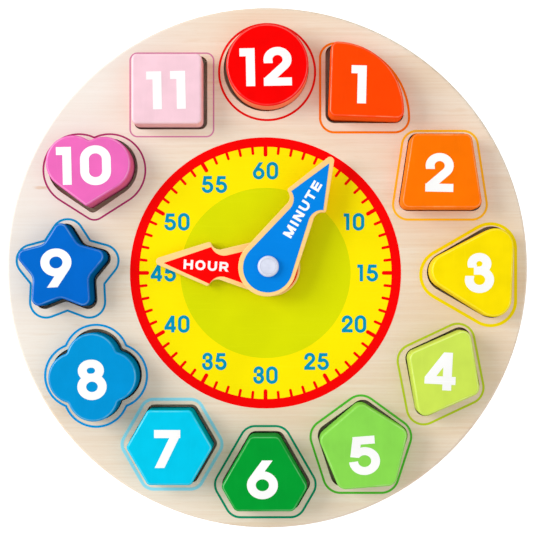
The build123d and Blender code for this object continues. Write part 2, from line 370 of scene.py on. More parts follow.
@dataclass(frozen=True)
class Pen:
    """A pen of some half width, with room for one letter or digit that is one unit tall.

    Each method with a sign in its name gives the strokes of that letter or digit.
    """

    half: float
    width: float

    @property
    def middle(self) -> float:
        """The middle of the sign."""
        return self.width / 2

    @property
    def right(self) -> float:
        """Where a stem along the right edge stands."""
        return self.width - self.half

    @property
    def top(self) -> float:
        """The level of a bar along the head."""
        return 1 - self.half

    @property
    def radius(self) -> float:
        """The radius of a bow as wide as the sign."""
        return self.middle - self.half

    @property
    def bowl(self) -> Peg:
        """The round bowl at the foot of the sign."""
        return Peg(self.middle, self.middle - OVERSHOOT, self.radius)

    @property
    def stems(self) -> Strokes:
        """A stem along each edge."""
        return [self.stem(self.half), self.stem(self.right)]

    def stem(self, x: float) -> Stroke:
        """Draws an upright stroke."""
        return Stroke([(x, 0), (x, 1)])

    def bar(self, level: float, left: float = 0.0) -> Stroke:
        """Draws a level stroke that ends at the right edge."""
        return Stroke([(left, level), (self.width, level)])

    def oval(self, height: float) -> Ring:
        """Draws a ring as wide as the sign."""
        reach = height / 2 - self.middle
        return Ring([Peg(self.middle, y, self.radius) for y in (0.5 - reach, 0.5 + reach)])

    def slant(
        self, start: Point, end: Point, overrun: Point, aside: float = 0.0, crop: Crop = LINE_HEIGHT
    ) -> Stroke:
        """Draws a slanting stroke that a crop cuts.

        Args:
            start: where it starts.
            end: where it ends.
            overrun: how far it runs on before its start and past its end.
            aside: how far right of both its middle line lies.
            crop: what stays of it.

        Returns:
            The stroke.
        """
        along = (Vector(end) - Vector(start)).normalized()
        shift = aside * Vector((along.y, -along.x))
        first = Vector(start) + shift - overrun[0] * along
        last = Vector(end) + shift + overrun[1] * along
        return Stroke([tuple(first), tuple(last)], crop)

    def sign_0(self) -> Strokes:
        """An upright ring with straight sides."""
        return [self.oval(1.05)]

    def sign_1(self) -> Strokes:
        """A flag and a stem, one mitred stroke."""
        return [Stroke([(0, self.top), (self.right, self.top), (self.right, 0)])]

    def sign_2(self) -> Strokes:
        """A bow that runs on into a slanting stroke, and a foot.

        Returns:
            Its strokes.
        """
        middle = Vector((self.middle, 1 + OVERSHOOT - self.middle))
        heel = Vector((0, 1.8 * self.half))
        reach = middle - heel
        heading = atan2(reach.y, reach.x) - pi - asin((self.radius - self.half) / reach.length)
        outwards = Vector((-sin(heading), cos(heading)))
        start = pi + asin(0.057 / self.radius)
        sweep = (start - atan2(outwards.y, outwards.x)) % tau
        first = middle + self.radius * Vector((cos(start), sin(start)))
        end = first - Vector((0, LEVEL_END))
        last = heel + self.half * outwards
        bow = [tuple(end), tuple(first), (*middle, -degrees(sweep)), tuple(last)]
        return [Stroke(bow), self.bar(self.half)]

    def sign_3(self) -> Strokes:
        """Two bows that meet in a short middle bar.

        Returns:
            Its strokes.
        """
        upper = 0.525 - self.middle
        lower = self.radius
        joint = -0.025 + self.half + 2 * lower
        drop = 0.07
        bows = []
        for radius, side, bar, level in ((upper, 1, 0.45, joint + 0.004), (lower, -1, 0.31, joint)):
            turn = 270 + degrees(asin(drop / radius))
            y = level + side * radius
            end = (self.middle - sqrt(radius**2 - drop**2), y - side * (drop + LEVEL_END))
            middle_bar = [(bar * self.width, level), (self.middle, level)]
            bows.append(Stroke([*middle_bar, (self.middle, y, side * turn), end]))
        return bows

    def sign_4(self) -> Strokes:
        """A bar, a stem and a slanting stroke between them.

        Returns:
            Its strokes.
        """
        stem = 0.728 * self.width
        bar = 0.26
        foot = (0.0, bar + 0.66 * self.half)
        crop = (0.0, bar - self.half, stem + self.half, 1.0)
        slant = self.slant(foot, (stem - self.half, 1.0), (0.4, 0.3), self.half, crop)
        return [self.bar(bar, 0.6 * self.half), self.stem(stem), slant]

    def sign_5(self) -> Strokes:
        """A top bar, a leaning stem and an open bowl.

        Returns:
            Its strokes.
        """
        corner = 0.166 * self.width
        heel = 0.046 * self.width
        x, y, radius = self.bowl
        return [
            Stroke([(corner, self.top), (0.875 * self.width, self.top)]),
            Stroke([(corner + self.half, 1 - self.half / 2), (heel + self.half, 0.46)]),
            Stroke([(x - radius, y), (x, y, 320)]),
        ]

    def sign_6(self) -> Strokes:
        """A round bowl and a straight tail that touches it.

        Returns:
            Its strokes.
        """
        x, y, radius = self.bowl
        along = Vector((0.552, 0.834))
        start = Vector((x - radius * along.y, y + radius * along.x))
        return [Ring([self.bowl]), Stroke([tuple(start), tuple(start + along)], LINE_HEIGHT)]

    def sign_7(self) -> Strokes:
        """A top bar and a slanting leg."""
        leg = self.slant((self.width, 0.86), (0.394 * self.width, 0.0), (0.0, 0.3), self.half)
        return [self.bar(self.top), leg]

    def sign_8(self) -> Strokes:
        """A large ring and a small one on it.

        Returns:
            Its strokes.
        """
        upper = 0.5325 - self.middle
        joint = -0.0325 + self.half + 2 * self.radius
        flat = 0.02
        head = [Peg(self.middle + x, joint + upper, upper) for x in (flat, -flat)]
        return [Ring([Peg(self.middle, joint - self.radius, self.radius)]), Ring(head)]

    def sign_E(self) -> Strokes:
        """A stem and three bars."""
        bars = [self.bar(level, self.half) for level in (self.half, 0.5, self.top)]
        return [self.stem(self.half), *bars]

    def sign_H(self) -> Strokes:
        """Two stems and a bar."""
        return [*self.stems, Stroke([(self.half, 0.5), (self.right, 0.5)])]

    def sign_I(self) -> Strokes:
        """A stem."""
        return [self.stem(self.middle)]

    def sign_M(self) -> Strokes:
        """Two stems and a V between them."""
        slants = [self.slant((x, 1), (self.middle, 0), (0.3, 0.3)) for x in (self.half, self.right)]
        return [*self.stems, *slants]

    def sign_N(self) -> Strokes:
        """Two stems and a slanting stroke."""
        inset = 1.2 * self.half
        return [*self.stems, self.slant((inset, 1), (self.width - inset, 0), (0.3, 0.3))]

    def sign_O(self) -> Strokes:
        """A round ring."""
        return [self.oval(1.04)]

    def sign_R(self) -> Strokes:
        """A stem, a bowl and a leg.

        Returns:
            Its strokes.
        """
        radius = 0.29 - self.half / 2
        turn = self.right - radius
        moves = [
            (self.half, self.top),
            (turn, self.top),
            (turn, self.top - radius, -180),
            (self.half, self.top - 2 * radius),
        ]
        leg = Stroke([(self.middle, 0.5), (self.width, -0.14)], LINE_HEIGHT)
        return [self.stem(self.half), Stroke(moves), leg]

    def sign_T(self) -> Strokes:
        """A bar and a stem."""
        return [self.bar(self.top), self.stem(self.middle)]

    def sign_U(self) -> Strokes:
        """Two stems joined by a half ring."""
        x, y, _ = self.bowl
        return [Stroke([(self.half, 1), (self.half, y), (x, y, 180), (self.right, 1)])]


@dataclass(frozen=True)
class Face:
    """A weight of lettering, its capitals one unit tall."""

    stroke: float
    stretch: float
    gap: float
    signs: str
    widths: Sequence[float]
    gap_after_one: float = 0.0

    def width(self, sign: str) -> float:
        """Gives the width of a letter or digit, before it is stretched."""
        return self.widths[self.signs.index(sign)]

    def strokes(self, sign: str) -> Strokes:
        """Gives the strokes of a letter or digit, before they are stretched."""
        return getattr(Pen(self.stroke / 2, self.width(sign)), f"sign_{sign}")()


class Lettering(Enum):
    """The three weights of lettering on the clock."""

    BLOCK_NUMERAL = Face(
        stroke=0.211,
        stretch=1.11,
        gap=0.23,
        signs="0123456789",
        widths=(0.731, 0.36, 0.665, 0.694, 0.738, 0.735, 0.735, 0.622, 0.697, 0.735),
    )
    MINUTE_NUMERAL = Face(
        stroke=0.198,
        stretch=1.0,
        gap=0.12,
        gap_after_one=0.08,
        signs="0123456",
        widths=(0.69, 0.34, 0.65, 0.645, 0.69, 0.7, 0.7),
    )
    HAND_WORD = Face(
        stroke=0.235,
        stretch=1.12,
        gap=0.25,
        signs="EHIMNORTU",
        widths=(0.777, 0.884, 0.286, 1.027, 0.857, 0.946, 0.848, 0.857, 0.875),
    )

    @cache
    def letter(self, sign: str) -> Mesh:
        """Builds a letter or digit, once. A 9 is a 6 upside down.

        Args:
            sign: the letter or digit.

        Returns:
            Its closed mesh, one unit tall and one unit thick.
        """
        face = self.value
        strokes = face.strokes("6" if sign == "9" else sign)
        walls = [cut(wall(stroke, face.stroke, 1.0), stroke.crop) for stroke in strokes]
        piece, *others = [on_scene("work", mesh) for mesh in walls]
        for other in others:
            join = piece.modifiers.new("join", "BOOLEAN")
            join.operation = "UNION"
            join.solver = "EXACT"
            join.object = other
        mesh = baked(piece)
        for other in others:
            bpy.data.objects.remove(other)
        if sign == "9":
            to_middle = Matrix.Translation((face.width(sign) / 2, 0.5, 0))
            mesh.transform(to_middle @ Matrix.Rotation(pi, 4, "Z") @ to_middle.inverted())
        return mesh

    def word(self, text: str, height: float) -> Shape:
        """Sets a word or a number.

        Args:
            text: the word or number.
            height: the height of its capitals, in millimetres.

        Returns:
            Its mesh in millimetres, an ink's thickness tall, its middle at the origin.
        """
        face = self.value
        starts = []
        reach = 0.0
        for sign in text:
            starts.append(reach)
            reach += face.width(sign) * face.stretch + face.gap
            if sign == "1":
                reach += face.gap_after_one
        reach -= face.gap
        mesh = bmesh.new()
        size = Matrix.Diagonal((height, height, INK_THICKNESS, 1))
        stretch = Matrix.Diagonal((face.stretch, 1, 1, 1))
        for sign, start in zip(text, starts):
            shift = Matrix.Translation((start - reach / 2, -0.5, 0))
            add_mesh(mesh, self.letter(sign), size @ shift @ stretch)
        return mesh


# --- Finishes ---


def tint(colour: Colour) -> tuple[float, ...]:
    """Turns a colour of 0 to 255 into the values that a shader takes."""
    parts = [part / 255 for part in colour]
    return (*(p / 12.92 if p <= 0.04045 else ((p + 0.055) / 1.055) ** 2.4 for p in parts), 1.0)


def mixed(first: Colour, second: Colour, share: float) -> Colour:
    """Mixes two colours, with some share of the second."""
    return tuple(round(a + (b - a) * share) for a, b in zip(first, second))


class Recipe:
    """The nodes of a material or a world, added and joined by short calls."""

    def __init__(
        self,
        owner: bpy.types.Material | bpy.types.World,
        shader: str = "BSDF_PRINCIPLED",
        coordinates: str = "Object",
    ) -> None:
        """Starts from the standard shader.

        Args:
            owner: the material or world.
            shader: the type of its shader.
            coordinates: what its patterns are placed by.
        """
        owner.use_nodes = True
        self.tree = owner.node_tree
        self.shader = next(node for node in self.tree.nodes if node.type == shader)
        self.place = self.node("TexCoord", {}, coordinates)

    def node(
        self, kind: str, inputs: dict[str | int, Value], output: str | int = 0, **settings: object
    ) -> Socket:
        """Adds a node.

        Args:
            kind: the node's type without its first word.
            inputs: values or sockets for its inputs.
            output: the output that is wanted.
            settings: the node's own settings.

        Returns:
            The output's socket.
        """
        node = self.tree.nodes.new(f"ShaderNode{kind}")
        for key, value in settings.items():
            setattr(node, key, value)
        for key, value in inputs.items():
            self.join(node.inputs[key], value)
        return node.outputs[output]

    def join(self, socket: Socket, value: Value) -> None:
        """Sets a socket to a value, or joins it to another socket."""
        if isinstance(value, Socket):
            self.tree.links.new(value, socket)
        else:
            socket.default_value = value

    def shade(self, **values: Value) -> None:
        """Sets inputs of the shader, named with underscores for spaces."""
        for key, value in values.items():
            self.join(self.shader.inputs[key.replace("_", " ")], value)

    def maths(self, operation: str, *terms: Value) -> Socket:
        """Works out one sum."""
        return self.node("Math", dict(enumerate(terms)), operation=operation)

    def times(self, *terms: Value) -> Socket:
        """Multiplies some values."""
        return reduce(partial(self.maths, "MULTIPLY"), terms)

    def plus(self, *terms: Value) -> Socket:
        """Adds some values."""
        return reduce(partial(self.maths, "ADD"), terms)

    def vector(self, operation: str, *terms: Value, output: str = "Vector") -> Socket:
        """Works out one sum of vectors."""
        return self.node("VectorMath", dict(enumerate(terms)), output, operation=operation)

    def noise(self, size: float | Triple, detail: float = 3.0, rough: float = 0.5) -> Socket:
        """Makes a noise.

        Args:
            size: the size of its spots in millimetres, one value or one along each axis.
            detail: how many finer layers it has.
            rough: how strong they are.

        Returns:
            The noise, about 0.5 on average.
        """
        sizes = size if isinstance(size, tuple) else (size, size, size)
        scale = tuple(1 / (MM * part) for part in sizes)
        place = self.node("Mapping", {"Vector": self.place, "Scale": scale})
        inputs = {"Vector": place, "Scale": 1.0, "Detail": detail, "Roughness": rough}
        return self.node("TexNoise", inputs)

    def between(self, value: Value, low: float, high: float) -> Socket:
        """Spreads a value so that low becomes 0 and high becomes 1."""
        return self.node("MapRange", {"Value": value, "From Min": low, "From Max": high})

    def spread(self, value: Value, low: float, high: float) -> Socket:
        """Spreads a value of 0 to 1 from low to high."""
        return self.node("MapRange", {"Value": value, "To Min": low, "To Max": high})

    def over(self, under: Colour | Socket, upper: Colour | Socket, *shares: Value) -> Socket:
        """Lays a colour over another.

        Args:
            under: the lower colour.
            upper: the colour that is laid over it.
            shares: how thickly it lies, as a product.

        Returns:
            The colour that shows.
        """
        colours = [part if isinstance(part, Socket) else tint(part) for part in (under, upper)]
        inputs = {"Factor": self.times(*shares), 6: colours[0], 7: colours[1]}
        return self.node("Mix", inputs, 2, data_type="RGBA")

    def upward(self) -> Socket:
        """Gives how far a face looks up or down, from 0 to 1."""
        normal = self.node("NewGeometry", {}, "Normal")
        return self.maths("ABSOLUTE", self.node("SeparateXYZ", {"Vector": normal}, "Z"))

    def reach(self, middle: Point = (0.0, 0.0), x_share: float = 1.0) -> Socket:
        """Measures how far off an upright line a place is.

        Args:
            middle: where the line stands, in millimetres.
            x_share: how much of a way along X counts.

        Returns:
            The distance in millimetres.
        """
        aside = self.vector("SUBTRACT", self.place, (middle[0] * MM, middle[1] * MM, 0))
        flat = self.vector("MULTIPLY", aside, (x_share / MM, 1 / MM, 0))
        return self.vector("LENGTH", flat, output="Value")

    def seen(self) -> Socket:
        """Gives 1 for rays that are seen, directly or in a gloss or through glass."""
        kinds = ("Is Camera Ray", "Is Glossy Ray", "Is Transmission Ray")
        return reduce(
            partial(self.maths, "MAXIMUM"), [self.node("LightPath", {}, kind) for kind in kinds]
        )

    def bump(self, height: Value, depth: float, strength: float = 1.0) -> None:
        """Gives the surface a relief of some depth in millimetres."""
        inputs = {"Height": height, "Distance": depth * MM, "Strength": strength}
        self.shade(Normal=self.node("Bump", inputs))


@dataclass(frozen=True)
class Finish:
    """A finish that is mixed once and used by all its pieces."""

    name: str
    colour: Colour

    def material(self) -> bpy.types.Material:
        """Gives the finish's material, which is made when it is first asked for.

        Returns:
            The material.
        """
        material = bpy.data.materials.get(self.name)
        if material is None:
            material = bpy.data.materials.new(self.name)
            self.mix(Recipe(material))
        return material

    def mix(self, recipe: Recipe) -> None:
        """Fills the recipe."""
        recipe.shade(Base_Color=tint(self.colour))


@dataclass(frozen=True)
class PlywoodFinish(Finish):
    """Clear-lacquered plywood: fine grain along X, layers and cut marks on its edges."""

    shade_colour: Colour = (232, 209, 182)
    streak: Colour = (224, 190, 150)
    layer: Colour = (206, 172, 128)
    toasted: Colour = (138, 94, 60)
    toasted_within: float = 108.0
    layer_thickness: float = 1.0
    # The paler colour of painted light on the lamp's side of the sheet, and where it starts and
    # ends.
    bleached: Colour = (238, 236, 234)
    bleached_share: float = 0.0
    bleached_from: float = 62.0
    bleached_to: float = 105.0
    smear: Point = (0.0, 0.0)
    smear_colour: Colour = (214, 164, 112)

    def mix(self, recipe: Recipe) -> None:
        """Fills the recipe.

        Args:
            recipe: the recipe.
        """
        grain = recipe.noise((46.0, 1.1, 1.1), 6.0, 0.6)
        bands = recipe.noise((150.0, 17.0, 17.0), 2.0)
        clouds = recipe.noise((60.0, 34.0, 34.0), 2.0)
        smears = recipe.between(recipe.noise((26.0, 3.2, 3.2), 3.0), 0.63, 0.8)
        dashes = recipe.between(recipe.noise((5.5, 0.22, 0.22), 2.0, 0.6), 0.6, 0.74)
        tone = recipe.between(recipe.plus(grain, bands, clouds), 1.2, 1.8286)
        wood = recipe.over(self.colour, self.shade_colour, tone)
        wood = recipe.over(wood, self.streak, smears, 0.5)
        wood = recipe.over(wood, self.streak, dashes, 0.35)
        # Painted light: the face sheet turns paler towards the key lamp.
        if self.bleached_share:
            wood = self.weathered(recipe, wood)
        edge = recipe.over(wood, self.layer, self.layers(recipe))
        edge = recipe.over(edge, self.toasted, self.toast(recipe))
        side = recipe.between(recipe.upward(), 0.6, 0.3)
        recipe.shade(
            Base_Color=recipe.over(wood, edge, side),
            Roughness=recipe.spread(grain, 0.5, 0.66),
            Specular_IOR_Level=0.2,
        )
        recipe.bump(recipe.maths("SUBTRACT", grain, recipe.times(dashes, 0.6)), 0.05, 0.5)

    def weathered(self, recipe: Recipe, wood: Socket) -> Socket:
        """Paints light on the sheet towards the key lamp at ten o'clock; adds one brown mineral
        smear.

        Args:
            recipe: the recipe.
            wood: the wood's colour.

        Returns:
            The colour with both.
        """
        across = recipe.vector("DOT_PRODUCT", recipe.place, (-1, 0.45, 0), output="Value")
        painted_light_mask = recipe.between(across, self.bleached_from * MM, self.bleached_to * MM)
        wood = recipe.over(wood, self.bleached, painted_light_mask, self.bleached_share)
        ragged = recipe.times(recipe.noise((3.0, 0.6, 0.6), 4.0), 1.4)
        depth = recipe.between(recipe.plus(recipe.reach(self.smear, 0.2), ragged), 1.6, 0.7)
        return recipe.over(wood, self.smear_colour, depth, 0.65)

    def layers(self, recipe: Recipe) -> Socket:
        """Gives the darker layers of the plywood.

        Args:
            recipe: the recipe.

        Returns:
            How dark a layer is, from 0 to 1.
        """
        height = recipe.node("SeparateXYZ", {"Vector": recipe.place}, "Z")
        wobble = recipe.times(recipe.noise((9.0, 9.0, 2.0)), 0.25 * MM)
        turns = recipe.times(recipe.plus(height, wobble), pi / (self.layer_thickness * MM))
        return recipe.times(recipe.between(recipe.maths("SINE", turns), -0.25, 0.25), 0.6)

    def toast(self, recipe: Recipe) -> Socket:
        """Browns the edges that a hot cutter made, which stand inside the rim.

        Args:
            recipe: the recipe.

        Returns:
            How brown an edge is, from 0 to 1.
        """
        inside = recipe.maths("LESS_THAN", recipe.reach(), self.toasted_within)
        uneven = recipe.between(recipe.noise((3.0, 3.0, 9.0)), 0.2, 0.7)
        return recipe.times(inside, recipe.plus(recipe.times(uneven, 0.35), 0.6))


@dataclass(frozen=True)
class PaintFinish(Finish):
    """Satin toy paint over wood, its top edges scuffed and given a painted highlight."""

    # The colour of the upright sides as they look lit: painted shade and painted reflected light
    # over thinner paint.
    side: Colour = (150, 120, 90)
    # The pale colour of the top edge line: scuffed paint and a painted highlight.
    rubbed: Colour = (255, 246, 226)
    sheen: float = 0.32

    def mix(self, recipe: Recipe) -> None:
        """Fills the recipe.

        Args:
            recipe: the recipe.
        """
        cloud = recipe.noise(9.0, 2.0)
        grain = recipe.noise((1.2, 16.0, 1.2), 4.0)
        peel = recipe.noise(0.9, 2.0)
        upward = recipe.upward()
        brink = recipe.times(
            recipe.between(upward, 0.74, 0.86), recipe.between(upward, 0.99, 0.96)
        )
        rubbed = recipe.between(recipe.noise(11.0, 5.0, 0.65), 0.46, 0.58)
        scuff_and_glint_share = recipe.plus(recipe.times(rubbed, 0.5), 0.04)
        deep = mixed(self.colour, BLACK, 0.04)
        pale = mixed(self.colour, WHITE, 0.02)
        scuffed_and_highlit = mixed(self.colour, self.rubbed, 0.42)
        colour = recipe.over(deep, self.colour, recipe.between(cloud, 0.3, 0.7))
        colour = recipe.over(colour, pale, recipe.between(grain, 0.55, 0.75), 0.5)
        # Upright sides take the side colour, which holds painted shade and painted reflected light.
        colour = recipe.over(colour, self.side, recipe.between(upward, 0.55, 0.15))
        # Painted highlight and scuffs: a pale line along the top edges, patchy by noise.
        colour = recipe.over(colour, scuffed_and_highlit, brink, scuff_and_glint_share)
        gloss = recipe.times(recipe.between(upward, 0.3, 0.85), 0.04)
        recipe.shade(
            Base_Color=colour,
            Roughness=recipe.spread(cloud, self.sheen - 0.05, self.sheen + 0.1),
            Specular_IOR_Level=recipe.plus(gloss, recipe.times(brink, 0.4)),
        )
        recipe.bump(recipe.plus(peel, recipe.times(grain, 1.2)), 0.03, 0.4)


@dataclass(frozen=True)
class InkFinish(Finish):
    """Screen-printed ink that lets a little of the wood's grain show through."""

    speckle: float = 0.03

    def mix(self, recipe: Recipe) -> None:
        """Fills the recipe.

        Args:
            recipe: the recipe.
        """
        grain = recipe.noise((30.0, 0.9, 0.9), 5.0, 0.6)
        cloud = recipe.between(recipe.noise(22.0, 2.0), 0.3, 0.7)
        thin = mixed(self.colour, WHITE, self.speckle)
        thick = mixed(self.colour, BLACK, 0.035)
        colour = recipe.over(thick, self.colour, cloud)
        recipe.shade(
            Base_Color=recipe.over(colour, thin, recipe.between(grain, 0.56, 0.72), 0.7),
            Roughness=recipe.spread(grain, 0.48, 0.62),
            Specular_IOR_Level=0.04,
        )
        recipe.bump(grain, 0.03, 0.4)


@dataclass(frozen=True)
class PlasticFinish(Finish):
    """Moulded plastic with a fine turned texture and one groove round the pin's axis."""

    roughness: float = 0.34
    shadow: Colour = (120, 125, 150)
    turning_pitch: float = 0.28
    groove_radius: float = 3.15
    groove_half_width: float = 0.14

    def mix(self, recipe: Recipe) -> None:
        """Fills the recipe.

        Args:
            recipe: the recipe.
        """
        reach = recipe.reach(PIN_MIDDLE)
        turned = recipe.maths("SINE", recipe.times(reach, tau / self.turning_pitch))
        groove = recipe.maths("COMPARE", reach, self.groove_radius, self.groove_half_width)
        mould = recipe.noise(0.5, 3.0)
        cloud = recipe.between(recipe.noise(4.0, 2.0), 0.3, 0.8)
        shadow = mixed(self.colour, self.shadow, 0.22)
        colour = recipe.over(self.colour, shadow, cloud)
        recipe.shade(
            Base_Color=recipe.over(colour, shadow, groove, 0.5),
            Roughness=recipe.spread(mould, self.roughness - 0.06, self.roughness + 0.1),
            Specular_IOR_Level=0.5,
        )
        fine = recipe.plus(recipe.times(turned, 0.12), mould)
        recipe.bump(recipe.maths("SUBTRACT", fine, recipe.times(groove, 2.0)), 0.03)


def dress(finish: Finish, *nodes: str) -> None:
    """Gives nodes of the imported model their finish.

    Args:
        finish: the finish.
        nodes: the nodes' names.
    """
    for node in nodes:
        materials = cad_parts[node].data.materials
        materials.clear()
        materials.append(finish.material())
        log.info("node %s wears %s", node, finish.name)


WHITE_INK = InkFinish("white_ink", (252, 252, 250), 0.0)
BLUE_INK = InkFinish("blue_ink", (0, 147, 188))
RED_INK = InkFinish("red_ink", (250, 0, 0))


# --- Sub-assemblies ---


@dataclass
class Boards:
    """The two glued plywood boards."""

    face_finish: Finish = PlywoodFinish(
        "face_plywood", (242, 229, 211), bleached_share=0.6, smear=(-95.3, 33.8)
    )
    back_finish: Finish = PlywoodFinish(
        "back_plywood", (228, 212, 188), shade_colour=(208, 188, 160), toasted_within=12.0
    )

    def finish(self) -> None:
        """Dresses both boards."""
        dress(self.face_finish, "face_board")
        dress(self.back_finish, "back_board")


def disc(radius: float) -> list[Peg]:
    """Gives the outline of a disc round the middle."""
    return [Peg(0, 0, radius)]


@dataclass
class DialPrint:
    """The printed minute dial in the middle of the face board."""

    middle: Point = (-0.74, -2.22)
    ring_radius: float = 57.28
    ring_width: float = 3.98
    heart_radius: float = 35.95
    hole_radius: float = 6.5
    overlap: float = 0.1
    field_thickness: float = 0.03
    heart_thickness: float = 0.035
    tick_thickness: float = 0.045
    tick_width: float = 1.17
    tick_length: float = 3.2
    hour_tick_width: float = 1.64
    hour_tick_length: float = 4.15
    numeral_reach: float = 43.2
    numeral_height: float = 7.1
    yellow: Finish = InkFinish("yellow_ink", (255, 235, 0))
    lime: Finish = InkFinish("lime_ink", (218, 224, 0))

    @property
    def inner(self) -> float:
        """The inner radius of the ring, which the ticks hang from."""
        return self.ring_radius - self.ring_width

    def finish(self) -> None:
        """Builds and dresses the dial's print."""
        heart = self.heart_radius
        field_rims = [disc(self.inner + self.overlap), disc(heart - self.overlap)]
        hole = Peg(
            PIN_MIDDLE[0] - self.middle[0], PIN_MIDDLE[1] - self.middle[1], self.hole_radius
        )
        ring = plate([disc(self.ring_radius), disc(self.inner)], INK_THICKNESS)
        for name, mesh, ink, slot in (
            ("field", plate(field_rims, self.field_thickness), self.yellow, "yellow_paint"),
            ("heart", plate([disc(heart), [hole]], self.heart_thickness), self.lime, "lime_paint"),
            ("ring", ring, RED_INK, "red_paint"),
            ("ticks", self.ticks(), RED_INK, "red_paint"),
            ("numerals", self.numerals(), BLUE_INK, "sky_blue_paint"),
        ):
            make_piece(f"dial_{name}", mesh, "board", ink, on_top(*self.middle, DIAL_LEVEL))

    def ticks(self) -> Shape:
        """Makes the sixty minute marks.

        Returns:
            Their mesh.
        """
        mesh = bmesh.new()
        for minute in range(60):
            long = minute % 5 == 0
            half = (self.hour_tick_width if long else self.tick_width) / 2
            length = self.hour_tick_length if long else self.tick_length
            ends = [Peg(0, self.inner - length + half, half), Peg(0, self.inner + half, half)]
            turn = Matrix.Rotation(radians(6 * minute), 4, "Z")
            add_mesh(mesh, plate([ends], self.tick_thickness), turn)
        return mesh

    def numerals(self) -> Shape:
        """Sets the minute numerals, each upright.

        Returns:
            Their mesh.
        """
        mesh = bmesh.new()
        for hour in range(1, 13):
            angle = radians(30 * hour)
            place = Vector((sin(angle), cos(angle), 0)) * self.numeral_reach
            number = Lettering.MINUTE_NUMERAL.word(str(5 * hour), self.numeral_height)
            add_mesh(mesh, number, Matrix.Translation(place))
        return mesh


def peg_circle(count: int, reach: float, radius: float, first: float) -> list[Peg]:
    """Sets pegs on a circle.

    Args:
        count: how many.
        reach: the circle's radius.
        radius: each peg's radius.
        first: the angle of the first one, in degrees.

    Returns:
        The pegs, anticlockwise.
    """
    angles = [radians(first + 360 * step / count) for step in range(count)]
    return [Peg(reach * cos(angle), reach * sin(angle), radius) for angle in angles]


def alternate(first: Sequence[Peg], second: Sequence[Peg]) -> list[Peg]:
    """Lays two rows of pegs in turn, one from each."""
    return [peg for pair in zip(first, second) for peg in pair]


def both_sides(pegs: Sequence[Peg]) -> list[Peg]:
    """Adds the mirror image across Y of some pegs, so that the outline goes on round."""
    return [*pegs, *(Peg(-peg.x, peg.y, peg.radius) for peg in reversed(pegs))]


@dataclass(frozen=True)
class PocketPrint:
    """The printed line round one pocket."""

    number: int
    colour: Colour
    middle: Point
    pegs: Sequence[Peg]
    slot: str
    width: float = 0.92

    def finish(self) -> None:
        """Builds and dresses the line."""
        mesh = bmesh.new()
        mesh.from_mesh(wall(Ring(self.pegs), self.width, INK_THICKNESS))
        ink = InkFinish(f"pocket_ink_{self.number:02}", self.colour)
        name = f"pocket_line_{self.number:02}"
        make_piece(name, mesh, "board", ink, on_top(*self.middle, DIAL_LEVEL))


LOBE = 13.67
LOBE_REACH = 7.86
NOTCH = 0.4
NOTCH_REACH = (LOBE_REACH + sqrt(2 * (LOBE + NOTCH) ** 2 - LOBE_REACH**2)) / sqrt(2)

QUARTER_ROUND = [Peg(0, 0, 6.1), Peg(25.4, 0, 6.1), Peg(0, 0, 31.5), Peg(0, 25.4, 6.1)]
TRAPEZOID = both_sides([Peg(13.48, -12.4, 6.34), Peg(9.71, 12.4, 6.34)])
RHOMBUS = alternate(peg_circle(2, 15.89, 7.1, 63.1), peg_circle(2, 12.38, 7.1, 153.1))
CUT_TRIANGLE = both_sides([Peg(10.5, -12.77, 6.5), Peg(14.75, -5.41, 6.5), Peg(4.25, 12.77, 6.5)])
QUATREFOIL = alternate(peg_circle(4, LOBE_REACH, LOBE, 0), peg_circle(4, NOTCH_REACH, -NOTCH, 45))
STAR = alternate(peg_circle(5, 15.53, 6.75, 90), peg_circle(5, 17.24, -0.85, 126))
HEART = [Peg(0, -16.2, 4.9), Peg(6.45, 0, 15.12), Peg(0, 14.23, -0.5), Peg(-6.45, 0, 15.12)]
TRIANGLE = peg_circle(3, 12.59, 10.61, 180)
PENTAGON = peg_circle(5, 14.62, 7.35, 90)
HEXAGON = peg_circle(6, 15.64, 5.45, 0)
SQUARE = peg_circle(4, 20.44, 3.2, 45)

POCKET_PRINTS = [
    PocketPrint(12, (232, 22, 18), (-0.06, 82.65), disc(20.27), "red_paint"),
    PocketPrint(1, (250, 122, 4), (28.44, 63.28), QUARTER_ROUND, "orange_red_paint"),
    PocketPrint(2, (255, 194, 34), (72.99, 39.05), TRAPEZOID, "orange_paint"),
    PocketPrint(3, (246, 222, 0), (88.07, -2.98), TRIANGLE, "yellow_paint", 1.3),
    PocketPrint(4, (188, 208, 40), (73.26, -44.97), RHOMBUS, "lime_paint"),
    PocketPrint(5, (84, 188, 50), (39.57, -75.99), PENTAGON, "green_paint"),
    PocketPrint(6, (0, 146, 104), (-0.8, -86.22), CUT_TRIANGLE, "green_paint"),
    PocketPrint(7, (152, 228, 244), (-40.24, -74.6), HEXAGON, "cyan_paint", 1.3),
    PocketPrint(8, (0, 158, 228), (-72.33, -45.69), QUATREFOIL, "sky_blue_paint"),
    PocketPrint(9, (0, 148, 206), (-84.38, -1.79), STAR, "blue_paint"),
    PocketPrint(10, (172, 44, 104), (-73.07, 41.31), HEART, "magenta_paint", 0.75),
    PocketPrint(11, (212, 128, 166), (-40.31, 73.0), SQUARE, "magenta_paint", 0.6),
]


@dataclass(frozen=True)
class NumberBlock:
    """A painted wooden block with its number."""

    node: str
    number: int
    colour: Colour
    side: Colour
    middle: Point
    turn: float = 0.0
    numeral_height: float = 15.7

    def finish(self) -> None:
        """Paints the block and prints its number."""
        dress(PaintFinish(f"{self.node}_paint", self.colour, self.side), self.node)
        mesh = Lettering.BLOCK_NUMERAL.word(str(self.number), self.numeral_height)
        place = on_top(*self.middle, BLOCK_TOP, self.turn)
        make_piece(f"numeral_{self.number:02}", mesh, self.node, WHITE_INK, place)
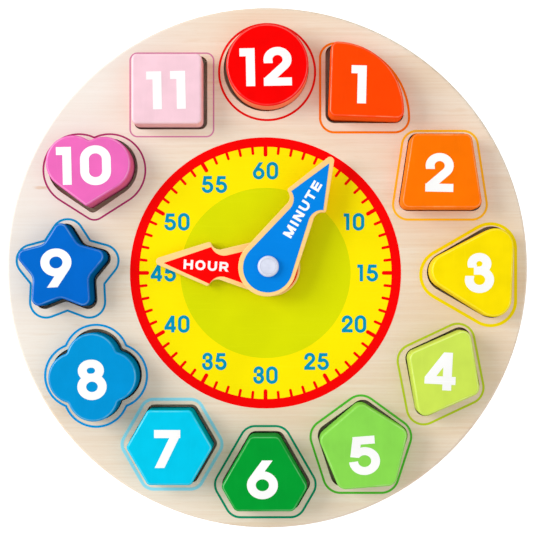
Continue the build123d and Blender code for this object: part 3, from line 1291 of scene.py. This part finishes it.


# Each block's second colour is its sides' lit look: painted shade on the darker ones, painted
# reflected light on the paler ones.
BLOCKS = [
    NumberBlock("block_12_disc", 12, (250, 0, 0), (246, 134, 97), (-0.45, 82.8), 1.1),
    NumberBlock("block_01_quarter_round", 1, (255, 70, 0), (246, 92, 26), (38.1, 75.6), -1.3),
    NumberBlock("block_02_trapezoid", 2, (255, 118, 0), (246, 130, 40), (71.5, 39.0), -1.0),
    NumberBlock("block_03_triangle", 3, (252, 225, 0), (240, 205, 50), (88.0, -2.5)),
    NumberBlock("block_04_rhombus", 4, (205, 230, 85), (190, 208, 88), (71.9, -43.1), -3.0),
    NumberBlock("block_05_pentagon", 5, (138, 218, 80), (124, 196, 76), (40.3, -77.9), 4.5),
    NumberBlock("block_06_cut_triangle", 6, (0, 155, 48), (40, 142, 58), (-1.8, -87.9)),
    NumberBlock("block_07_hexagon", 7, (0, 200, 235), (0, 150, 165), (-41.2, -75.3)),
    NumberBlock("block_08_quatrefoil", 8, (0, 147, 213), (0, 120, 168), (-72.5, -46.7), 4.0),
    NumberBlock("block_09_star", 9, (0, 102, 200), (0, 88, 145), (-87.1, -0.5), 3.0),
    NumberBlock("block_10_heart", 10, (236, 106, 186), (212, 96, 138), (-75.8, 42.0), 1.3),
    NumberBlock("block_11_square", 11, (245, 204, 216), (236, 182, 184), (-41.7, 73.2), 1.2),
]


@dataclass(frozen=True)
class Hand:
    """A plywood hand with a printed field and its name."""

    node: str
    time: float
    top: float
    hole: Point
    length: float
    barb: float
    colour: Colour
    slot: str
    word: str
    word_middle: Point
    word_turn: float
    word_height: float
    field_shift: Point
    end_radius: float
    barb_half_width: float = 7.6
    waist_half_width: float = 4.4
    waist_rounding: float = 5.8
    corner: float = 0.15
    hole_radius: float = 3.2
    word_sinking: float = 0.005
    wood: Finish = PlywoodFinish(
        "hand_birch",
        (255, 213, 140),
        shade_colour=(250, 200, 124),
        streak=(232, 180, 104),
        # A deep orange for the hands' edges: the ply layers with painted shade in them.
        layer=(230, 162, 80),
        toasted_within=0.0,
    )

    def finish(self) -> None:
        """Dresses the hand and prints it."""
        dress(self.wood, self.node)
        ink = InkFinish(f"{self.node}_ink", self.colour)
        mesh = plate([self.outline(), [Peg(*self.hole, self.hole_radius)]], INK_THICKNESS)
        to_hole = Matrix.Translation((-self.hole[0], -self.hole[1], 0))
        place = on_top(*PIN_MIDDLE, self.top, 90 - self.time) @ to_hole
        make_piece(f"{self.node}_field", mesh, self.node, ink, place)
        mesh = Lettering.HAND_WORD.word(self.word, self.word_height)
        level = self.top + INK_THICKNESS - self.word_sinking
        place = on_top(*self.word_middle, level, self.word_turn)
        make_piece(f"{self.node}_word", mesh, self.node, WHITE_INK, place)

    def outline(self) -> list[Peg]:
        """Shapes the printed field, the hand's tip along +X.

        Returns:
            The pegs of its outline.
        """
        hollow_y = self.waist_half_width + self.waist_rounding
        hollow_rise = hollow_y - self.barb_half_width
        hollow_x = self.barb - sqrt(self.waist_rounding**2 - hollow_rise**2)
        along, aside = self.field_shift
        below = [
            Peg(hollow_x, -hollow_y, -self.waist_rounding),
            Peg(self.barb, -self.barb_half_width, self.corner),
        ]
        above = [Peg(peg.x, -peg.y, peg.radius) for peg in reversed(below)]
        pegs = [*disc(self.end_radius), *below, Peg(self.length, 0, self.corner), *above]
        return [Peg(peg.x + along, peg.y + aside, peg.radius) for peg in pegs]


HANDS = [
    Hand(
        node="hour_hand",
        time=273.0,
        top=HOUR_HAND_TOP,
        hole=(1.2, -0.15),
        length=45.9,
        barb=26.6,
        colour=(255, 0, 0),
        slot="red_paint",
        word="HOUR",
        word_middle=(-25.57, 0.77),
        word_turn=-3.7,
        word_height=3.97,
        field_shift=(-1.1, 0.6),
        end_radius=10.05,
    ),
    Hand(
        node="minute_hand",
        time=30.5,
        top=MINUTE_HAND_TOP,
        hole=(0.55, -0.15),
        length=50.0,
        barb=32.3,
        colour=(0, 132, 228),
        slot="blue_paint",
        word="MINUTE",
        word_middle=(14.85, 24.02),
        word_turn=59.5,
        word_height=3.99,
        field_shift=(0.0, -0.25),
        end_radius=10.3,
    ),
]


@dataclass
class Pivot:
    """The pin, its socket and the two washers."""

    pin: Finish = PlasticFinish("pin_plastic", (220, 224, 240))
    washer: Finish = PlasticFinish("clear_washer_plastic", (232, 232, 228), 0.45)

    def finish(self) -> None:
        """Dresses the four pieces."""
        dress(self.pin, "pivot_pin", "pin_socket")
        dress(self.washer, "dial_washer", "hand_washer")


# --- Studio ---


@dataclass(frozen=True)
class SoftBox:
    """A square studio lamp."""

    name: str
    place: Triple
    size: float
    power: float

    def build(self) -> None:
        """Hangs the lamp, turned to the middle of the clock."""
        lamp = bpy.data.lights.new(self.name, "AREA")
        lamp.shape = "SQUARE"
        lamp.size = self.size
        lamp.energy = self.power
        holder = on_scene(self.name, lamp)
        holder.location = self.place
        holder.rotation_euler = (-Vector(self.place)).to_track_quat("-Z", "Y").to_euler()


@dataclass
class Studio:
    """A pale floor, soft light and a camera that looks down on the dial."""

    camera_place: Triple = (0.0096, -0.0128, 0.483)
    camera_shift: Point = (-0.044, 0.059)
    camera_angle: float = 26.68
    floor_size: float = 3.0
    floor_level: float = -0.0002
    floor_grey: float = 0.35
    floor_glow: float = 1.0
    horizon: float = 1.3
    zenith: float = 0.5
    fading: float = 0.6
    lamps: tuple[SoftBox, ...] = (
        SoftBox("key_lamp", (-1.03, 0.3, 0.62), 0.7, 10.5),
        SoftBox("fill_lamp", (0.9, -0.3, 0.8), 0.9, 2.4),
    )

    def build(self) -> None:
        """Builds the floor, the world, the lamps and the camera."""
        self.build_floor()
        self.build_world()
        for lamp in self.lamps:
            lamp.build()
        self.build_camera()
        bpy.context.scene.view_settings.view_transform = "Standard"

    def build_floor(self) -> None:
        """Lays the floor just under the clock, white where it is seen."""
        mesh = bmesh.new()
        level = Matrix.Translation((0, 0, self.floor_level))
        bmesh.ops.create_grid(
            mesh, x_segments=1, y_segments=1, size=self.floor_size / 2, matrix=level
        )
        floor = on_scene("floor", set_down(mesh, "floor"))
        paper = bpy.data.materials.new("floor_paper")
        recipe = Recipe(paper)
        recipe.shade(
            Base_Color=(*[self.floor_grey] * 3, 1),
            Roughness=1.0,
            Specular_IOR_Level=0.0,
            Emission_Color=(1, 1, 1, 1),
            Emission_Strength=recipe.times(recipe.seen(), self.floor_glow),
        )
        floor.data.materials.append(paper)

    def build_world(self) -> None:
        """Makes a bright horizon under a dimmer sky, white where it is seen."""
        world = bpy.data.worlds.new("studio")
        bpy.context.scene.world = world
        recipe = Recipe(world, "BACKGROUND", "Generated")
        height = recipe.node("SeparateXYZ", {"Vector": recipe.place}, "Z")
        rise = recipe.maths("POWER", recipe.maths("ABSOLUTE", height), self.fading)
        level = recipe.spread(rise, self.horizon, self.zenith)
        strength = recipe.node("Mix", {"Factor": recipe.seen(), 2: level, 3: 1.0})
        recipe.shade(Color=(1, 1, 1, 1), Strength=strength)

    def build_camera(self) -> None:
        """Sets up the camera, level with the dial and shifted to hold the clock."""
        lens = bpy.data.cameras.new("camera")
        lens.angle = radians(self.camera_angle)
        lens.shift_x, lens.shift_y = self.camera_shift
        camera = on_scene("camera", lens)
        camera.location = self.camera_place
        bpy.context.scene.camera = camera


def main() -> None:
    """Builds the clock's looks piece by piece, and the studio."""
    logging.basicConfig(level=logging.INFO, format="%(name)s: %(message)s")
    for part in (Boards(), DialPrint(), *POCKET_PRINTS, *BLOCKS, *HANDS, Pivot()):
        part.finish()
    Studio().build()


if __name__ == "__main__":
    main()
